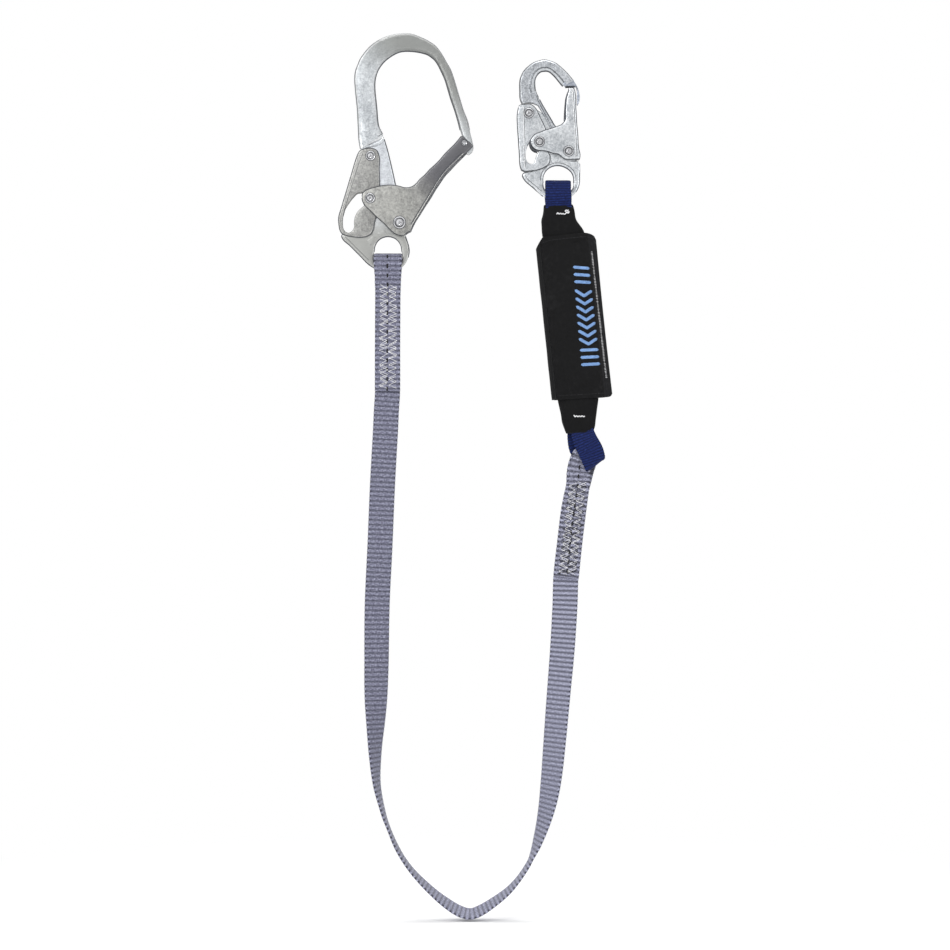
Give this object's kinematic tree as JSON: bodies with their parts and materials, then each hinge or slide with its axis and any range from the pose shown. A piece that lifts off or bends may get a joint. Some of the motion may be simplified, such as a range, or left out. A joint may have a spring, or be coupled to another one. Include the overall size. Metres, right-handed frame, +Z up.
{
  "type": "shock absorbing lanyard",
  "caption": "Safety lanyard: large double-action anchor hook, flat webbing strap, soft tear-webbing shock absorber in a cloth cover, and a locking snap hook for the harness.",
  "frame": {"origin": "bottom centre of the bounding box, under the hanging loop of webbing, on the centre plane of both hooks", "axes": "+Z up towards the hooks, -Y the front face of the hooks and pack, +X from the anchor hook towards the harness hook"},
  "size_m": [0.2748, 0.0256, 0.8848],
  "materials": {
    "hook_steel": "satin zinc plate",
    "plate_steel": "satin zinc plate",
    "rivet_steel": "bright zinc plate",
    "spring_steel": "bright wire",
    "grey_webbing": "ribbed polyester webbing",
    "blue_webbing": "ribbed nylon webbing",
    "black_cloth": "coated woven nylon",
    "hook_and_loop": "hook and loop tape",
    "white_thread": "bonded sewing thread",
    "label_paper": "blank plastic film"
  },
  "bodies": {
    "anchor_hook": {"anchor_hook_body": "hook_steel", "anchor_gate_rivet": "rivet_steel", "anchor_gate_spring": "spring_steel", "anchor_lock_rivet": "rivet_steel", "anchor_lock_spring": "spring_steel"},
    "anchor_gate": {"anchor_gate_plate": "plate_steel", "anchor_latch_pin": "rivet_steel", "anchor_nose_pin": "rivet_steel"},
    "anchor_lock": {"anchor_lock_lever": "plate_steel"},
    "anchor_webbing": {"webbing_anchor_leg": "grey_webbing", "anchor_stitch_needle_thread": "white_thread", "anchor_stitch_bobbin_thread": "white_thread"},
    "bight": {"webbing_bight": "grey_webbing"},
    "pack_webbing": {"webbing_pack_leg": "grey_webbing", "link_stitch_needle_thread": "white_thread", "link_stitch_bobbin_thread": "white_thread"},
    "absorber": {"absorber_top_loop": "blue_webbing", "absorber_bottom_loop": "blue_webbing", "absorber_tear_pack": "blue_webbing", "absorber_sleeve": "black_cloth", "cover_back_panel": "black_cloth", "cover_hook_strip": "hook_and_loop", "label_booklet": "label_paper", "sleeve_top_tack_thread": "white_thread", "sleeve_bottom_tack_thread": "white_thread"},
    "cover_flap": {"cover_front_flap": "black_cloth", "cover_loop_strip": "hook_and_loop"},
    "harness_hook": {"harness_hook_body": "hook_steel", "harness_gate_rivet": "rivet_steel", "harness_gate_spring": "spring_steel", "harness_lock_rivet": "rivet_steel"},
    "harness_gate": {"harness_gate_plate": "plate_steel", "harness_latch_pin": "rivet_steel"},
    "harness_lock": {"harness_lock_lever": "plate_steel"}
  },
  "joints": [
    {"name": "anchor_gate_open", "type": "hinge", "parent": "anchor_hook", "child": "anchor_gate", "pos_m": [-0.07626, 0, 0.69587], "axis": [0, -1, 0], "range_deg": [0, 35]},
    {"name": "anchor_lock_squeeze", "type": "hinge", "parent": "anchor_hook", "child": "anchor_lock", "pos_m": [-0.10526, 0, 0.76257], "axis": [0, -1, 0], "range_deg": [0, 10.5]},
    {"name": "anchor_loop_swing", "type": "hinge", "parent": "anchor_hook", "child": "anchor_webbing", "pos_m": [-0.08796, 0, 0.65467], "axis": [1, 0, 0], "range_deg": [-60, 60], "stiffness_Nm_per_rad": 20},
    {"name": "webbing_flex_lower_left", "type": "hinge", "parent": "anchor_webbing", "child": "bight", "pos_m": [-0.08696, 0, 0.08957], "axis": [0, -1, 0], "range_deg": [-60, 0], "stiffness_Nm_per_rad": 300},
    {"name": "webbing_flex_lower_right", "type": "hinge", "parent": "bight", "child": "pack_webbing", "pos_m": [0.05504, 0, 0.06017], "axis": [0, -1, 0], "range_deg": [-60, 0], "stiffness_Nm_per_rad": 300},
    {"name": "absorber_link_swing", "type": "hinge", "parent": "pack_webbing", "child": "absorber", "pos_m": [0.10404, 0, 0.45987], "axis": [0, -1, 0], "range_deg": [-10, 5], "stiffness_Nm_per_rad": 300},
    {"name": "cover_flap_open", "type": "hinge", "parent": "absorber", "child": "cover_flap", "pos_m": [0.06936, 0, 0.60085], "axis": [0.1045, 0, -0.9945], "range_deg": [0, 150]},
    {"name": "harness_loop_swing", "type": "hinge", "parent": "absorber", "child": "harness_hook", "pos_m": [0.08224, 0, 0.72777], "axis": [1, 0, 0], "range_deg": [-60, 60], "stiffness_Nm_per_rad": 60},
    {"name": "harness_gate_open", "type": "hinge", "parent": "harness_hook", "child": "harness_gate", "pos_m": [0.09254, 0, 0.76717], "axis": [0, -1, 0], "range_deg": [0, 18]},
    {"name": "harness_lock_squeeze", "type": "hinge", "parent": "harness_hook", "child": "harness_lock", "pos_m": [0.05284, 0, 0.80537], "axis": [0, -1, 0], "range_deg": [0, 8.1]}
  ],
  "couplings": [
    {"joint": "anchor_lock_squeeze", "follows": "anchor_gate_open", "ratio": 0.3},
    {"joint": "harness_lock_squeeze", "follows": "harness_gate_open", "ratio": 0.45}
  ]
}
